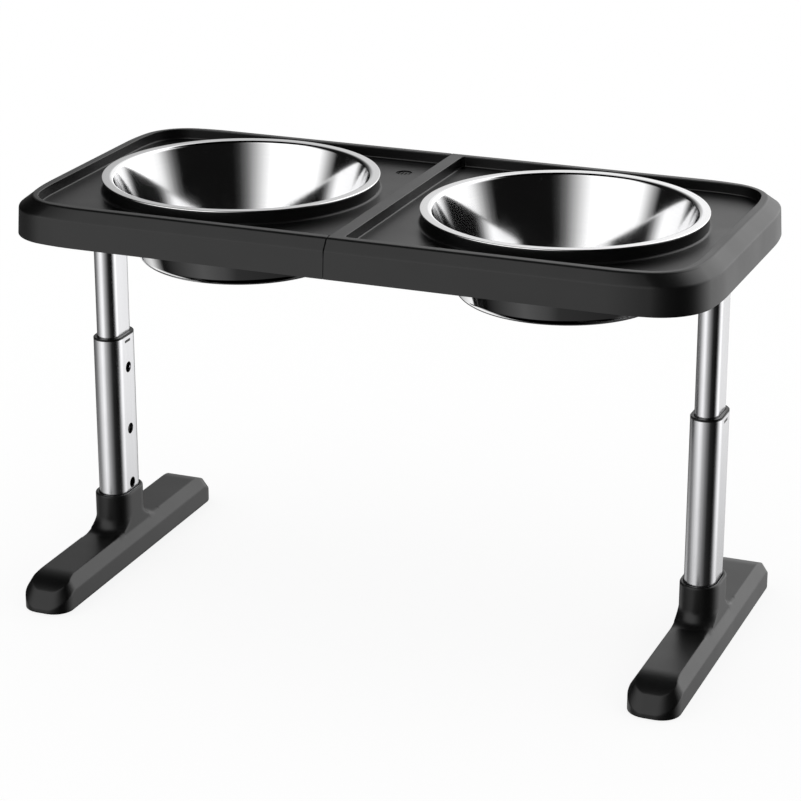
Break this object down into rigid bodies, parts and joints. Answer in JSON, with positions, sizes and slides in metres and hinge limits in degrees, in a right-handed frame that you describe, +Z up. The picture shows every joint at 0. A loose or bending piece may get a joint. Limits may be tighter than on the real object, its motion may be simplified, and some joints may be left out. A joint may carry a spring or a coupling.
{
  "type": "adjustable dog feeder stand",
  "caption": "Raised feeder stand for dogs with steel bowls set in a black tray on telescoping legs with long T-shaped feet.",
  "frame": {"origin": "on the floor under the middle of the stand", "axes": "+X along the tray to the viewer's right, +Y to the back, +Z up"},
  "size_m": [0.6, 0.299, 0.3661],
  "materials": {
    "tray_plastic": "satin",
    "bowl_steel": "polished",
    "tube_alloy": "satin",
    "zinc_steel": "zinc plated",
    "spring_steel": "bare",
    "fitting_plastic": "satin",
    "pad_rubber": "matte"
  },
  "bodies": {
    "base": {"left_foot": "tray_plastic", "right_foot": "tray_plastic", "left_pads": "pad_rubber", "right_pads": "pad_rubber", "left_foot_bolt": "zinc_steel", "right_foot_bolt": "zinc_steel", "left_insert": "fitting_plastic", "right_insert": "fitting_plastic", "left_lower_tube": "tube_alloy", "right_lower_tube": "tube_alloy", "left_bushing": "fitting_plastic", "right_bushing": "fitting_plastic"},
    "tray": {"left_tray": "tray_plastic", "right_tray": "tray_plastic", "joiner_bolts": "zinc_steel", "joiner_nuts": "zinc_steel", "left_upper_tube": "tube_alloy", "right_upper_tube": "tube_alloy", "left_tube_screws": "zinc_steel", "right_tube_screws": "zinc_steel", "left_glide": "fitting_plastic", "right_glide": "fitting_plastic", "left_spring": "spring_steel", "right_spring": "spring_steel"},
    "left_bowl": {"left_bowl": "bowl_steel"},
    "right_bowl": {"right_bowl": "bowl_steel"},
    "left_button": {"left_button": "fitting_plastic"},
    "right_button": {"right_button": "fitting_plastic"}
  },
  "joints": [
    {"name": "tray_height", "type": "slide", "parent": "base", "child": "tray", "axis": [0, 0, 1], "range_m": [-0.0514, 0.0576]},
    {"name": "left_bowl_lift", "type": "slide", "parent": "tray", "child": "left_bowl", "axis": [0, 0, 1], "range_m": [0, 0.09]},
    {"name": "right_bowl_lift", "type": "slide", "parent": "tray", "child": "right_bowl", "axis": [0, 0, 1], "range_m": [0, 0.09]},
    {"name": "left_button_snap", "type": "slide", "parent": "tray", "child": "left_button", "axis": [1, 0, 0], "range_m": [0, 0.004], "stiffness_N_per_m": 300, "springref_m": 0.004},
    {"name": "right_button_snap", "type": "slide", "parent": "tray", "child": "right_button", "axis": [-1, 0, 0], "range_m": [0, 0.004], "stiffness_N_per_m": 300, "springref_m": 0.004}
  ]
}
